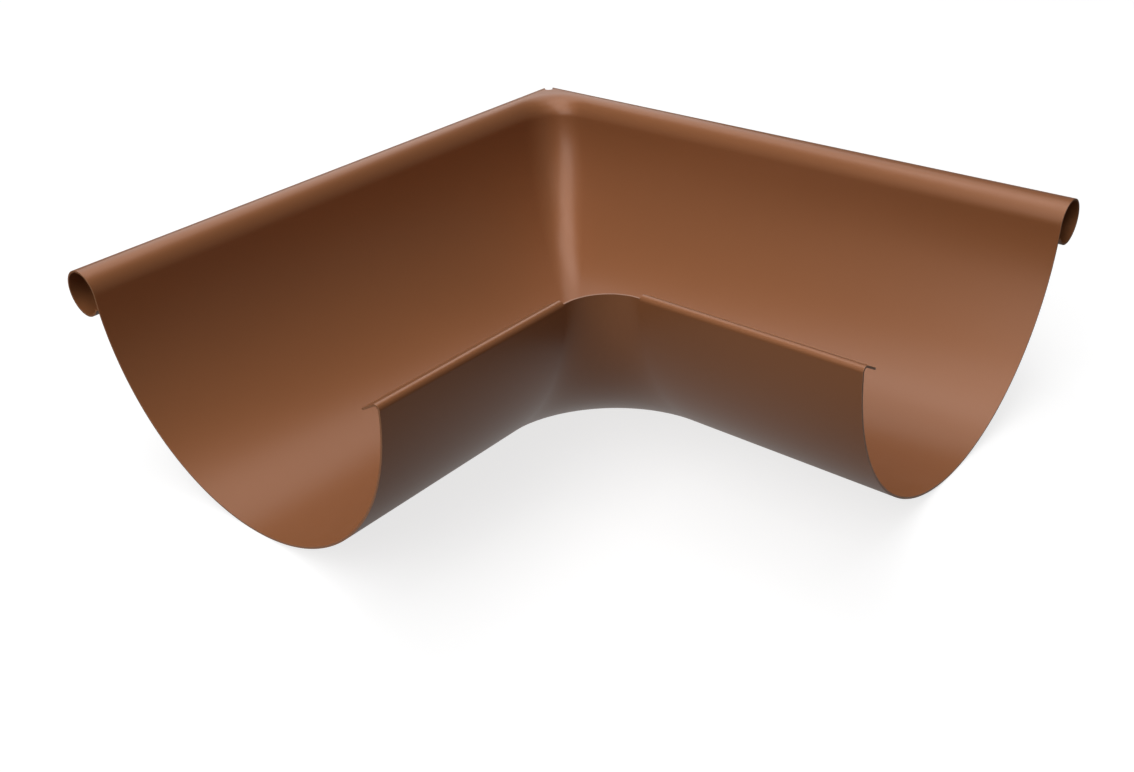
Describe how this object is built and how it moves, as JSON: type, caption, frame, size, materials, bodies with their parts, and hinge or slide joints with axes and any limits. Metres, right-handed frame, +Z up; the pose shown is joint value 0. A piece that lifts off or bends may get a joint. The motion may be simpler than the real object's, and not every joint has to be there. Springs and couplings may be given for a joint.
{
  "type": "gutter outside miter",
  "caption": "Half-round rain gutter outside corner, pressed from coated steel sheet, with an open curled bead along the front rim and a folded lip along the back rim.",
  "frame": {"origin": "centre of the bounding box in plan, at the bottom of the troughs, which is the level it rests on", "axes": "+Z up out of the open troughs, +X along the first leg out of its cut end, +Y along the second leg out of its cut end"},
  "size_m": [0.221, 0.221, 0.0642],
  "materials": {
    "coated_steel": "satin copper-brown coil coating on both faces"
  },
  "bodies": {
    "root": {"gutter_miter": "coated_steel"}
  },
  "joints": []
}
